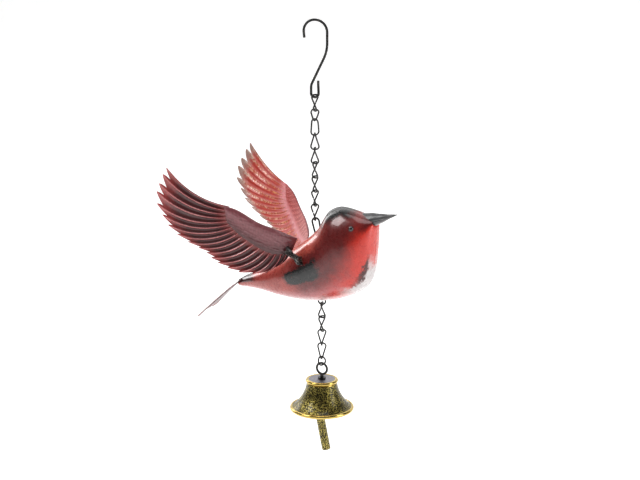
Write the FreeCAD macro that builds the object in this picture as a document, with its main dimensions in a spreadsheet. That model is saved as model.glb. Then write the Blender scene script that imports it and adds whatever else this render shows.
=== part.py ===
import FreeCAD, Part
import Sketcher
import math
import os

# A hanging sheet-metal bird with sprung wings, a twisted-link chain and a wind bell.
# Millimetres, +Z up, the bird faces +X and its right wing is on -Y.
# The origin is the inner top of the hanging hook, the point that rests on a branch or nail.

V = FreeCAD.Vector
UP = V(0, 0, 1)

doc = FreeCAD.newDocument("HangingBird")
sheet = doc.addObject("Spreadsheet::Sheet", "Dimensions")

DIMENSIONS = {
    # hanging hook
    "hook_wire_radius": 1.1,
    "hook_bow_radius": 10.6,
    "hook_shank_drop": 25.0,
    "hook_tip_drop": 14.0,
    "hook_length": 64.9,
    "hook_eye_radius": 3.3,
    "hook_eye_height": 14.0,
    "hook_turn": 15.0,
    # twisted chain links
    "link_wire_radius": 0.7,
    "link_width": 8.6,
    "link_corner_radius": 2.6,
    "link_seam_gap": 0.4,
    "link_play": 0.1,
    "hanger_play": 0.25,
    "upper_link_length": 13.85,
    "upper_short_length": 9.7,
    "lower_link_length": 13.9,
    "lower_short_length": 7.9,
    # loop on the nape and staple on the belly
    "loop_wire_radius": 0.8,
    "loop_width": 7.4,
    "loop_height": 17.0,
    "loop_lean": 13.0,
    "loop_station": 0.640,
    "staple_width": 7.0,
    "staple_gap": 2.0,
    "staple_station": 0.486,
    # body
    "body_length": 155.5,
    "body_height": 72.0,
    "body_width": 45.0,
    "body_pitch": 27.0,
    "body_wall": 0.9,
    # beak and eyes
    "beak_length": 22.5,
    "beak_height": 11.0,
    "beak_width": 10.5,
    "beak_rise": 16.0,
    "eye_radius": 2.4,
    # tail
    "tail_length": 56.0,
    "tail_root_width": 9.0,
    "tail_end_width": 34.0,
    "tail_notch": 3.0,
    "tail_sheet": 0.4,
    "tail_slope": 41.0,
    "tail_roll": 6.0,
    # wings
    "wing_span": 124.0,
    "wing_chord": 96.0,
    "wing_sheet": 0.3,
    "wing_bend_radius": 131.0,
    "wing_splay": 38.0,
    "wing_lean": 6.0,
    "wing_root_offset": 9.6,
    "wing_root_rise": 4.0,
    "wing_root_station": 0.535,
    "feather_scallop": 2.6,
    # wing springs and their pegs
    "spring_wire_radius": 0.5,
    "spring_coil_radius": 2.5,
    "spring_pitch": 1.5,
    "spring_wing_gap": 3.4,
    "spring_body_gap": 2.4,
    "spring_station": 0.540,
    "spring_flank_level": 0.70,
    "spring_standoff": 4.4,
    "peg_clearance": 0.2,
    "peg_reach": 4.5,
    # bell
    "bell_crown_radius": 14.3,
    "bell_neck_radius": 13.5,
    "bell_lip_radius": 28.4,
    "bell_height": 28.4,
    "bell_wall": 1.4,
    "bell_rim": 1.2,
    "bell_flare_depth": 3.3,
    "bell_eye_radius": 5.0,
    "bell_eye_wire_radius": 1.0,
    "bell_eye_turn": 2.0,
    "bell_stem_radius": 1.5,
    "bell_stem_rise": 3.2,
    "bell_stem_clearance": 0.15,
    "bell_collar_radius": 3.4,
    "bell_nut_radius": 3.4,
    "bell_nut_height": 2.4,
    "clapper_loop_radius": 2.6,
    "clapper_loop_wire_radius": 0.8,
    # clapper
    "clapper_radius": 3.9,
    "clapper_length": 45.0,
    "clapper_lean": 10.3,
    "clapper_drop": 13.6,
    "clapper_turn": 30.0,
    "clapper_wire_radius": 0.7,
    "clapper_bore_clearance": 0.05,
    "clapper_bore_depth": 6.0,
}

for row, (alias, value) in enumerate(DIMENSIONS.items(), start=1):
    sheet.set(f"A{row}", alias)
    sheet.set(f"B{row}", str(value))
    sheet.setAlias(f"B{row}", alias)
doc.recompute()

# Turn of each link about the plumb line, in degrees: the chain hangs with a slow twist.
UPPER_TURNS = (60, 15, -25, -60, -75, -100, -115, -125, -135)
UPPER_SHORT_LINK = 2
LOWER_TURNS = (95, 60, 30, 20, -15)
LOWER_SHORT_LINK = 5

# Body sections from the tail to the breast: place along the body, height of the back and
# of the belly from the body's axis, and half width, as shares of length, height and width.
BODY_SECTIONS = (
    (0.013, 0.000, -0.070, 0.067),
    (0.077, 0.014, -0.139, 0.144),
    (0.161, 0.014, -0.236, 0.256),
    (0.289, 0.035, -0.417, 0.378),
    (0.418, 0.076, -0.563, 0.456),
    (0.547, 0.118, -0.653, 0.491),
    (0.662, 0.194, -0.685, 0.500),
    (0.759, 0.320, -0.681, 0.480),
    (0.842, 0.313, -0.604, 0.434),
    (0.913, 0.215, -0.385, 0.356),
    (0.965, 0.110, -0.194, 0.262),
    (1.000, 0.028, -0.062, 0.144),
)
TAIL_FEATHERS = 5
EYE_STATION = 0.900
EYE_LEVEL = 0.70

# Wing blank, as shares of span and chord: the leading edge from the root to the tip,
# then the tips of the feathers back towards the root.
LEADING_EDGE = ((0.0, 0.00), (0.15, 0.115), (0.40, 0.325), (0.56, 0.39), (0.74, 0.54), (0.895, 0.725))
FEATHER_TIPS = (
    (0.927, 0.655), (0.965, 0.565), (0.992, 0.485), (1.000, 0.370), (0.963, 0.270), (0.922, 0.180),
    (0.855, 0.100), (0.777, 0.034), (0.702, -0.016), (0.645, -0.060), (0.615, -0.108), (0.570, -0.155),
    (0.505, -0.205), (0.430, -0.250), (0.335, -0.275), (0.235, -0.280),
)
ROOT_TRAILING = (0.045, -0.11)
ROOT_NOTCH = (0.18, -0.225)
WING_HUB = (0.35, 0.19)
WING_PEG = (0.080, -0.060)

finished = []


def size(alias):
    return float(sheet.get(alias))


def bind(piece, **expressions):
    """Tie properties of a piece to cells of the sheet."""
    for name, expression in expressions.items():
        for alias in DIMENSIONS:
            expression = expression.replace(f"<{alias}>", f"Dimensions.{alias}")
        piece.setExpression(name, expression)
    return piece


def add(kind, name, **expressions):
    return bind(doc.addObject(kind, name), **expressions)


def finish(piece, label):
    """Name a piece as a sub-part that is written to its own file."""
    piece.Label = label
    finished.append(piece)
    return piece


def flat(azimuth):
    """The level direction at an azimuth in degrees from +X."""
    return V(math.cos(math.radians(azimuth)), math.sin(math.radians(azimuth)), 0)


def rounded_path(points, radii):
    """A wire of straight runs with a tangent arc at each inner point."""
    edges = []
    start = points[0]
    for before, corner, after, radius in zip(points, points[1:], points[2:], radii):
        arriving = (corner - before).normalize()
        leaving = (after - corner).normalize()
        turn = arriving.getAngle(leaving)
        reach = radius * math.tan(turn / 2)
        first = corner - arriving * reach
        last = corner + leaving * reach
        bulge = radius / math.cos(turn / 2) - radius
        middle = corner + (leaving - arriving).normalize() * bulge
        if (first - start).Length > 1e-6:
            edges.append(Part.LineSegment(start, first).toShape())
        edges.append(Part.Arc(first, middle, last).toShape())
        start = last
    edges.append(Part.LineSegment(start, points[-1]).toShape())
    return Part.Wire(edges)


def bent_wire(name, points, radii, wire_radius):
    """A round wire bent along a path, as a sweep of a circle bound to the sheet."""
    path = doc.addObject("Part::Feature", name + "_path")
    path.Shape = rounded_path(points, radii)
    section = add("Part::Circle", name + "_section", Radius=f"<{wire_radius}>")
    facing = FreeCAD.Rotation(UP, points[1] - points[0])
    section.Placement = FreeCAD.Placement(points[0], facing)
    doc.recompute()
    sweep = doc.addObject("Part::Sweep", name)
    sweep.Sections = [section]
    sweep.Spine = (path, [f"Edge{i + 1}" for i in range(len(path.Shape.Edges))])
    sweep.Solid = True
    sweep.Frenet = False
    return sweep


def cut(name, base, tool):
    piece = doc.addObject("Part::Cut", name)
    piece.Base = base
    piece.Tool = tool
    return piece


# ---------------------------------------------------------------- hanging hook

def make_hook():
    """An S-hook: a wide bow that hangs on a branch and a long narrow eye for the chain."""
    wire = size("hook_wire_radius")
    bow = size("hook_bow_radius")
    eye = size("hook_eye_radius")
    out = flat(size("hook_turn"))
    floor = wire - size("hook_length")
    points = [
        out * -bow * 0.86 + UP * -size("hook_tip_drop"),
        out * -bow + UP * wire,
        out * bow + UP * wire,
        out * bow + UP * -size("hook_shank_drop"),
        out * -eye + UP * (floor + size("hook_eye_height") * 0.72),
        out * -eye + UP * floor,
        out * eye + UP * floor,
        out * eye * 0.86 + UP * (floor + size("hook_eye_height")),
    ]
    radii = [bow * 0.88, bow * 0.98, bow * 2.8, eye * 2.4, eye * 0.95, eye * 0.95]
    hook = bent_wire("Hook", points, radii, "hook_wire_radius")
    finish(hook, "hanging_hook")
    return floor


# ---------------------------------------------------------------- chain links

def make_link(label, top, length, turn):
    """A wire link twisted by a quarter turn, hanging from the centre of its top wire."""
    half = size("link_width") / 2
    ends = [V(half, 0, 0), V(0, half, -length), V(0, -half, -length), V(-half, 0, 0)]
    along = (ends[1] - ends[0]).normalize()
    seam = (ends[0] + ends[1]) / 2
    gap = along * (size("link_seam_gap") / 2)
    points = [seam + gap, ends[1], ends[2], ends[3], ends[0], seam - gap]
    corner = size("link_corner_radius")
    link = bent_wire(label.title(), points, [corner] * 4, "link_wire_radius")
    link.Placement = FreeCAD.Placement(V(*top), FreeCAD.Rotation(UP, turn))
    finish(link, label)


def make_chain(name, top, turns, short_number, length, short_length):
    """Links from the top down; returns the centre of the last link's bottom wire."""
    step = 2 * size("link_wire_radius") + size("link_play")
    for number, turn in enumerate(turns, start=1):
        drop = short_length if number == short_number else length
        make_link(f"{name}_link_{number:02d}", top, drop, turn)
        top = top - UP * (drop - step)
    return top - UP * step


# ---------------------------------------------------------------- body geometry

def body_sizes(station):
    """Back height, belly height and half width of the body at a share of its length."""
    for near, far in zip(BODY_SECTIONS, BODY_SECTIONS[1:]):
        if station <= far[0]:
            break
    blend = (station - near[0]) / (far[0] - near[0])
    back, belly, half = (a + (b - a) * blend for a, b in zip(near[1:], far[1:]))
    return back * size("body_height"), belly * size("body_height"), half * size("body_width")


class Body:
    """Places on the body, from its inclined axis."""

    def __init__(self, loop_top):
        pitch = math.radians(size("body_pitch"))
        self.ahead = V(math.cos(pitch), 0, math.sin(pitch))
        self.above = V(-math.sin(pitch), 0, math.cos(pitch))
        lean = math.radians(size("loop_lean"))
        foot = loop_top + V(math.sin(lean), 0, -math.cos(lean)) * (size("loop_height") * 0.62)
        back = body_sizes(size("loop_station"))[0]
        self.tail = foot - self.ahead * (size("loop_station") * size("body_length")) - self.above * back

    def axis_point(self, station, height=0.0, side=0.0):
        along = self.ahead * (station * size("body_length"))
        return self.tail + along + self.above * height + V(0, side, 0)

    def skin_point(self, station, level, side):
        """A point on the flank and the outward normal there; level runs from belly 0 to back 1."""
        back, belly, half = body_sizes(station)
        middle = (back + belly) / 2
        reach = (back - belly) / 2
        height = belly + level * (back - belly)
        share = (height - middle) / reach
        width = half * math.sqrt(1 - share * share)
        normal = V(0, side * width / half ** 2, 0) + self.above * ((height - middle) / reach ** 2)
        return self.axis_point(station, height, side * width), normal.normalize()


def body_section(body, station, back, belly, half, span):
    """A closed oval section; span is 'whole' or the side, +1 or -1, of a half section."""
    middle = (back + belly) / 2
    reach = (back - belly) / 2
    centre = body.axis_point(station, middle)
    top = centre + body.above * reach
    low = centre - body.above * reach

    def oval(side):
        unit = Part.Arc(V(0, 0, 1), V(0, side, 0), V(0, 0, -1)).toShape()
        stretch = FreeCAD.Matrix()
        stretch.scale(1, half, reach)
        turn = FreeCAD.Rotation(V(0, 0, 1), body.above).toMatrix()
        move = FreeCAD.Matrix()
        move.move(centre)
        return unit.transformGeometry(move * turn * stretch)

    if span == "whole":
        return Part.Wire([oval(1), oval(-1).reversed()])
    return Part.Wire([oval(span), Part.LineSegment(low, top).toShape()])


def body_solid(body, inset, span):
    """The lofted body, or its half, with every surface moved in by inset."""
    wires = []
    last = len(BODY_SECTIONS) - 1
    for i, (station, back, belly, half) in enumerate(BODY_SECTIONS):
        back, belly, half = back * size("body_height"), belly * size("body_height"), half * size("body_width")
        station += {0: inset, last: -inset}.get(i, 0) / size("body_length")
        wires.append(body_section(body, station, back - inset, belly + inset, half - inset, span))
    return Part.makeLoft(wires, True, False)


def make_body(body):
    """Two pressed half shells that meet on the seam in the bird's middle plane."""
    outer = doc.addObject("Part::Feature", "Body_outside")
    outer.Shape = body_solid(body, 0.0, "whole")
    inner = doc.addObject("Part::Feature", "Body_hollow")
    inner.Shape = body_solid(body, size("body_wall"), "whole")
    for name, side in (("right", -1), ("left", 1)):
        half = doc.addObject("Part::Feature", f"{name}_half")
        half.Shape = body_solid(body, 0.0, side)
        finish(cut(f"{name}_shell", half, inner), f"body_{name}_shell")
    return outer


# ---------------------------------------------------------------- loop, staple, beak, eyes, tail

def make_back_loop(outside, top):
    """A closed wire loop whose foot is brazed to the nape."""
    half = size("loop_width") / 2
    tall = size("loop_height")
    lean = math.radians(size("loop_lean"))
    down = V(math.sin(lean), 0, -math.cos(lean))
    across = V(math.cos(lean), 0, math.sin(lean))
    points = [
        top + down * tall + across * 0.2,
        top + down * tall * 0.97 + across * half * 0.7,
        top + across * half,
        top - across * half,
        top + down * tall * 0.97 - across * half * 0.7,
        top + down * tall - across * 0.2,
    ]
    radii = [half * 0.4, half * 0.85, half * 0.85, half * 0.4]
    loop = bent_wire("Back_loop_blank", points, radii, "loop_wire_radius")
    finish(cut("Back_loop", loop, outside), "back_loop")


def make_staple(body, outside):
    """A wire staple under the belly; returns the centre of its lowest wire."""
    station = size("staple_station")
    belly = body_sizes(station)[1]
    seat = body.axis_point(station, belly)
    drop = 3 * size("link_wire_radius") + size("link_play") + size("staple_gap")
    low = seat - UP * drop
    half = size("staple_width") / 2
    rise = drop + 2.5
    points = [
        low + V(-half, 0, rise),
        low + V(-half, 0, 0),
        low + V(half, 0, 0),
        low + V(half, 0, rise),
    ]
    staple = bent_wire("Staple_blank", points, [half * 0.8] * 2, "link_wire_radius")
    finish(cut("Staple", staple, outside), "belly_staple")
    return low


def make_beak(body, outside):
    """A pointed beak, wide at its root and pressed against the face."""
    root = body.axis_point(0.93, 0.045 * size("body_height"))
    rise = math.radians(size("beak_rise"))
    ahead = V(math.cos(rise), 0, math.sin(rise))
    above = V(-math.sin(rise), 0, math.cos(rise))
    length = size("beak_length") + (body.axis_point(1.0) - body.axis_point(0.93)).Length
    wires = []
    for along, share in ((0.0, 1.15), (0.28, 1.0), (0.55, 0.66), (0.80, 0.30), (1.0, 0.07)):
        tall = share * size("beak_height") / 2
        wide = share * size("beak_width") / 2
        centre = root + ahead * (length * along) + above * (1.1 * (1 - share))
        ring = Part.Ellipse(centre + above * tall, centre + V(0, wide, 0), centre)
        wires.append(Part.Wire([ring.toShape()]))
    blank = doc.addObject("Part::Feature", "Beak_blank")
    blank.Shape = Part.makeLoft(wires, True, False)
    finish(cut("Beak_piece", blank, outside), "beak")


def make_eyes(body, outside):
    """Small domed eyes on both sides of the head."""
    for name, side in (("right", -1), ("left", 1)):
        place, normal = body.skin_point(EYE_STATION, EYE_LEVEL, side)
        ball = add("Part::Sphere", f"{name}_eyeball", Radius="<eye_radius>")
        centre = place - normal * (size("eye_radius") * 0.35)
        ball.Placement = FreeCAD.Placement(centre, FreeCAD.Rotation(UP, normal))
        finish(cut(f"{name}_eye_dome", ball, outside), f"{name}_eye")


def make_tail(body, outside):
    """A flat fan of tail feathers let into the rump."""
    length = size("tail_length")
    root = size("tail_root_width") / 2
    end = size("tail_end_width") / 2
    notch = size("tail_notch")
    elbow = length * 0.28
    corners = [V(0, -root, 0), V(elbow, -root * 1.05, 0), V(length - notch, -end, 0)]
    edges = [Part.LineSegment(*pair).toShape() for pair in zip(corners, corners[1:])]
    start = corners[-1]
    width = 2 * end / TAIL_FEATHERS
    for i in range(TAIL_FEATHERS):
        tip = V(length, -end + width * (i + 0.5), 0)
        after = V(length - notch, -end + width * (i + 1), 0)
        edges.append(Part.Arc(start, tip, after).toShape())
        start = after
    corners = [start, V(elbow, root * 1.05, 0), V(0, root, 0), corners[0]]
    edges += [Part.LineSegment(*pair).toShape() for pair in zip(corners, corners[1:])]
    fan = doc.addObject("Part::Feature", "Tail_outline")
    fan.Shape = Part.Face(Part.Wire(edges))
    blank = add("Part::Extrusion", "Tail_blank", LengthFwd="<tail_sheet>")
    blank.Base = fan
    blank.DirMode = "Custom"
    blank.Dir = UP
    blank.Solid = True
    slope = FreeCAD.Rotation(V(0, 1, 0), 180 - size("tail_slope"))
    roll = FreeCAD.Rotation(V(1, 0, 0), -size("tail_roll"))
    start = body.axis_point(0.05, -0.002 * size("body_height"))
    blank.Placement = FreeCAD.Placement(start, slope.multiply(roll))
    finish(cut("Tail_piece", blank, outside), "tail_fan")


# ---------------------------------------------------------------- wings

def wing_frame(body, side):
    """The wing root's place, and its outward, spanwise and upward directions."""
    station = size("wing_root_station")
    back = body_sizes(station)[0]
    root = body.axis_point(station, back + size("wing_root_rise"), side * size("wing_root_offset"))
    lean = math.radians(size("wing_lean"))
    splay = math.radians(size("wing_splay"))
    up = V(0, side * math.sin(lean), math.cos(lean))
    face = V(math.cos(splay), side * math.sin(splay), 0)
    face = (face - up * face.dot(up)).normalize()
    span = up.cross(face) * side
    return root, face, span, up


def wing_point(frame, share_out, share_up, offset=0.0):
    """A point of the bent wing from its place on the flat blank."""
    root, face, span, up = frame
    radius = size("wing_bend_radius")
    angle = share_out * size("wing_span") / radius
    radial = face * math.cos(angle) + span * math.sin(angle)
    return root - face * radius + radial * (radius + offset) + up * (share_up * size("wing_chord")), radial


def make_wings(body):
    """Each wing is a feather-edged blank bent round an upright cylinder."""
    radius = size("wing_bend_radius")
    long = size("wing_span")
    tall = size("wing_chord")
    middle = long / 2 / radius

    def shown(share_out, share_up):
        """A place on the blank as it is seen along the middle of the bend."""
        return V(0, radius * math.sin(share_out * long / radius - middle), share_up * tall)

    leading = Part.BSplineCurve()
    leading.interpolate([shown(*place) for place in LEADING_EDGE])
    edges = [leading.toShape()]
    start = shown(*LEADING_EDGE[-1])
    hub = shown(*WING_HUB)
    tips = [shown(*place) for place in FEATHER_TIPS]
    for tip, after in zip(tips, tips[1:] + [shown(*ROOT_TRAILING)]):
        notch = (tip + after) / 2
        notch = notch + (hub - notch).normalize() * size("feather_scallop") * 0.8
        if tip is tips[-1]:
            notch = shown(*ROOT_NOTCH)
        edges.append(Part.Arc(start, tip, notch).toShape())
        start = notch
    edges.append(Part.LineSegment(start, shown(*ROOT_TRAILING)).toShape())
    edges.append(Part.LineSegment(shown(*ROOT_TRAILING), shown(*LEADING_EDGE[0])).toShape())
    outline = doc.addObject("Part::Feature", "Wing_outline")
    outline.Shape = Part.Face(Part.Wire(edges))
    turned = FreeCAD.Rotation(UP, math.degrees(middle))
    outline.Placement = FreeCAD.Placement(V(-radius, 0, 0), turned)
    blank = add("Part::Extrusion", "Wing_blank", LengthFwd="<wing_bend_radius> + 2 * <wing_sheet>")
    blank.Base = outline
    blank.DirMode = "Custom"
    blank.Dir = turned.multVec(V(1, 0, 0))
    blank.Solid = True
    rounds = []
    for name, extra in (("inner", "0"), ("outer", "<wing_sheet>")):
        drum = add(
            "Part::Cylinder", f"Wing_{name}_round",
            Radius=f"<wing_bend_radius> + {extra}", Height="2.4 * <wing_chord>",
        )
        drum.Placement = FreeCAD.Placement(V(-radius, 0, -1.2 * tall), FreeCAD.Rotation())
        rounds.append(drum)
    sheet_metal = cut("Wing_bent_sheet", rounds[1], rounds[0])
    wing = doc.addObject("Part::Common", "Left_wing_piece")
    wing.Base = sheet_metal
    wing.Tool = blank
    root, face, span, up = wing_frame(body, 1)
    matrix = FreeCAD.Matrix(
        face.x, span.x, up.x, root.x,
        face.y, span.y, up.y, root.y,
        face.z, span.z, up.z, root.z,
        0, 0, 0, 1,
    )
    wing.Placement = FreeCAD.Placement(matrix)
    finish(wing, "left_wing")
    mirrored = doc.addObject("Part::Mirroring", "Right_wing_piece")
    mirrored.Source = wing
    mirrored.Normal = V(0, 1, 0)
    finish(mirrored, "right_wing")


def make_wing_mounts(body, outside):
    """A coil spring between a bent peg on the shoulder and a peg on the wing, on each side."""
    for name, side in (("right", -1), ("left", 1)):
        seat, normal = body.skin_point(size("spring_station"), size("spring_flank_level"), side)
        elbow = seat + normal * size("spring_standoff")
        root = wing_frame(body, side)
        tack, radial = wing_point(root, *WING_PEG)
        along = (tack - elbow).normalize()
        facing = FreeCAD.Rotation(UP, along)
        coil_start = elbow + along * size("spring_body_gap")
        coil_length = (tack - elbow).Length - size("spring_body_gap") - size("spring_wing_gap")
        wire = "<spring_coil_radius> - <spring_wire_radius> - <peg_clearance>"

        helix = add(
            "Part::Helix", f"{name}_spring_line",
            Radius="<spring_coil_radius>", Pitch="<spring_pitch>",
        )
        helix.Height = coil_length
        helix.Style = 1
        section = add("Part::Circle", f"{name}_spring_section", Radius="<spring_wire_radius>")
        section.Placement = FreeCAD.Placement(
            V(size("spring_coil_radius"), 0, 0), FreeCAD.Rotation(V(1, 0, 0), 90)
        )
        doc.recompute()
        spring = doc.addObject("Part::Sweep", f"{name}_spring")
        spring.Sections = [section]
        spring.Spine = (helix, [f"Edge{i + 1}" for i in range(len(helix.Shape.Edges))])
        spring.Solid = True
        spring.Frenet = True
        spring.Placement = FreeCAD.Placement(coil_start, facing)
        finish(spring, f"{name}_wing_spring")

        post = add("Part::Cylinder", f"{name}_peg_post", Radius=wire)
        post.Height = size("spring_standoff") + 1.5
        post.Placement = FreeCAD.Placement(seat - normal * 1.5, FreeCAD.Rotation(UP, normal))
        bend = add("Part::Sphere", f"{name}_peg_bend", Radius=wire)
        bend.Placement = FreeCAD.Placement(elbow, FreeCAD.Rotation())
        arm = add("Part::Cylinder", f"{name}_peg_arm", Radius=wire, Height="<peg_reach>")
        arm.Placement = FreeCAD.Placement(elbow, facing)
        peg = doc.addObject("Part::MultiFuse", f"{name}_peg_blank")
        peg.Shapes = [post, bend, arm]
        finish(cut(f"{name}_peg", peg, outside), f"{name}_body_peg")

        stub = add("Part::Cylinder", f"{name}_wing_stub", Radius=wire)
        stub.Height = size("spring_wing_gap") + size("peg_reach")
        stub.Placement = FreeCAD.Placement(tack, FreeCAD.Rotation(UP, along * -1))
        base, face, _, up = root
        drum = add(
            "Part::Cylinder", f"{name}_wing_curve",
            Radius="<wing_bend_radius> + <wing_sheet>", Height="2.4 * <wing_chord>",
        )
        foot = base - face * size("wing_bend_radius") - up * (1.2 * size("wing_chord"))
        drum.Placement = FreeCAD.Placement(foot, FreeCAD.Rotation(UP, up))
        finish(cut(f"{name}_wing_stub_trimmed", stub, drum), f"{name}_wing_peg")


# ---------------------------------------------------------------- bell and clapper

def make_bell_shell(lip):
    """The cast bell: a flat crown with a raised edge, a concave flare and a thick lip."""
    hole = size("bell_stem_radius") + size("bell_stem_clearance")
    crown = size("bell_crown_radius")
    neck = size("bell_neck_radius")
    mouth = size("bell_lip_radius")
    tall = size("bell_height")
    wall = size("bell_wall")
    rim = size("bell_rim")
    shoulder = tall - 3 * rim
    flare_out = (V(neck, 0, shoulder), V(mouth - rim, 0, 2 * rim))
    flare_in = (V(mouth - wall - rim, 0, 0), V(neck - wall, 0, shoulder))

    def bow(start, end, depth):
        """An arc whose middle stands off its chord by depth, to the left of its travel."""
        along = end - start
        side = V(-along.z, 0, along.x).normalize()
        return Part.Arc(start, (start + end) / 2 + side * depth, end).toShape()

    def line(start, end):
        return Part.LineSegment(start, end).toShape()

    corners = [V(hole, 0, tall), V(crown, 0, tall), V(crown, 0, tall - 2 * rim)]
    edges = [
        line(corners[0], corners[1]),
        bow(corners[1], corners[2], rim * 0.9),
        line(corners[2], flare_out[0]),
        bow(*flare_out, -size("bell_flare_depth")),
        line(flare_out[1], V(mouth, 0, 2 * rim)),
        bow(V(mouth, 0, 2 * rim), V(mouth, 0, 0), rim * 0.9),
        line(V(mouth, 0, 0), flare_in[0]),
        bow(*flare_in, size("bell_flare_depth")),
        line(flare_in[1], V(neck - wall, 0, tall - wall)),
        line(V(neck - wall, 0, tall - wall), V(hole, 0, tall - wall)),
        line(V(hole, 0, tall - wall), corners[0]),
    ]
    profile = doc.addObject("Part::Feature", "Bell_profile")
    profile.Shape = Part.Face(Part.Wire(edges))
    bell = doc.addObject("Part::Revolution", "Bell_turning")
    bell.Source = profile
    bell.Axis = UP
    bell.Angle = 360
    bell.Placement = FreeCAD.Placement(lip, FreeCAD.Rotation())
    finish(bell, "bell_shell")


def make_bell_eye(crown, ring_centre, loop_centre):
    """A ring, a collared stem through the crown and a small loop below it, in one piece."""
    ring = add("Part::Torus", "Eye_ring", Radius1="<bell_eye_radius>", Radius2="<bell_eye_wire_radius>")
    upright = FreeCAD.Rotation(V(1, 0, 0), 90)
    turned = FreeCAD.Rotation(UP, size("bell_eye_turn"))
    ring.Placement = FreeCAD.Placement(ring_centre, turned.multiply(upright))
    stem_top = ring_centre.z - size("bell_eye_radius")
    stem_low = loop_centre.z + size("clapper_loop_radius")
    stem = add("Part::Cylinder", "Eye_stem", Radius="<bell_stem_radius>")
    stem.Height = stem_top - stem_low
    stem.Placement = FreeCAD.Placement(V(crown.x, crown.y, stem_low), FreeCAD.Rotation())
    collar = add("Part::Cylinder", "Eye_collar", Radius="<bell_collar_radius>", Height="<bell_rim>")
    collar.Placement = FreeCAD.Placement(crown, FreeCAD.Rotation())
    loop = add(
        "Part::Torus", "Clapper_loop",
        Radius1="<clapper_loop_radius>", Radius2="<clapper_loop_wire_radius>",
    )
    turned = FreeCAD.Rotation(UP, size("clapper_turn") + 90)
    loop.Placement = FreeCAD.Placement(loop_centre, turned.multiply(upright))
    eye = doc.addObject("Part::MultiFuse", "Bell_eye_piece")
    eye.Shapes = [ring, collar, stem, loop]
    finish(eye, "bell_eye")


def make_bell_nut(crown):
    """The hexagonal nut that clamps the crown from below."""
    blank = add("Part::Prism", "Nut_blank", Circumradius="<bell_nut_radius>", Height="<bell_nut_height>")
    blank.Polygon = 6
    bore = add("Part::Cylinder", "Nut_bore", Radius="<bell_stem_radius> + 0.03", Height="<bell_nut_height>")
    nut = cut("Nut", blank, bore)
    nut.Placement = FreeCAD.Placement(
        crown - UP * (size("bell_wall") + size("bell_nut_height")), FreeCAD.Rotation()
    )
    finish(nut, "bell_nut")


def make_clapper(hang):
    """A leaning rod on a bent wire that is looped through the bell's inner loop."""
    wire = size("clapper_wire_radius")
    swing = flat(size("clapper_turn"))
    lean = math.radians(size("clapper_lean"))
    down = swing * math.sin(lean) - UP * math.cos(lean)
    length = size("clapper_length")
    rod_top = hang - UP * size("clapper_drop") - swing * (length / 2 * math.sin(lean))
    half = size("clapper_loop_wire_radius") + wire + 0.5
    points = [
        hang + swing * half - UP * 5.0,
        hang + swing * half,
        hang - swing * half,
        hang - swing * half - UP * 5.5,
        rod_top - down * 3.0,
        rod_top + down * (size("clapper_bore_depth") - 0.4),
    ]
    bend = 3.0
    hanger = bent_wire("Clapper_wire", points, [half * 0.9, half * 0.9, bend, bend], "clapper_wire_radius")
    finish(hanger, "clapper_wire")

    body = doc.addObject("PartDesign::Body", "Clapper_body")
    plane = next(f for f in body.Origin.OriginFeatures if f.Role == "XY_Plane")

    def disc(name, expression):
        sketch = body.newObject("Sketcher::SketchObject", name)
        sketch.AttachmentSupport = [(plane, "")]
        sketch.MapMode = "FlatFace"
        sketch.addGeometry(Part.Circle(V(0, 0, 0), UP, 1.0))
        sketch.addConstraint(Sketcher.Constraint("Coincident", 0, 3, -1, 1))
        index = sketch.addConstraint(Sketcher.Constraint("Radius", 0, 1.0))
        bind(sketch, **{f"Constraints[{index}]": expression})
        return sketch

    rod = body.newObject("PartDesign::Pad", "Clapper_pad")
    rod.Profile = disc("Clapper_section", "<clapper_radius>")
    bind(rod, Length="<clapper_length>")
    doc.recompute()
    solid_volume = rod.Shape.Volume
    bore = body.newObject("PartDesign::Pocket", "Clapper_bore")
    bore.Profile = disc("Bore_section", "<clapper_wire_radius> + <clapper_bore_clearance>")
    bind(bore, Length="<clapper_bore_depth>")
    bore.Reversed = True
    doc.recompute()
    if bore.Shape.Volume >= solid_volume:
        raise RuntimeError("the clapper's bore cuts nothing")
    chamfer = body.newObject("PartDesign::Chamfer", "Clapper_edges")
    rims = [
        f"Edge{i + 1}" for i, edge in enumerate(bore.Shape.Edges)
        if edge.Curve.TypeId == "Part::GeomCircle" and edge.Curve.Radius > size("clapper_radius") - 0.01
    ]
    chamfer.Base = (bore, rims)
    chamfer.Size = 0.5
    body.Tip = chamfer
    body.Placement = FreeCAD.Placement(rod_top, FreeCAD.Rotation(UP, down))
    finish(body, "clapper_rod")


# ---------------------------------------------------------------- assembly

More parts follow.
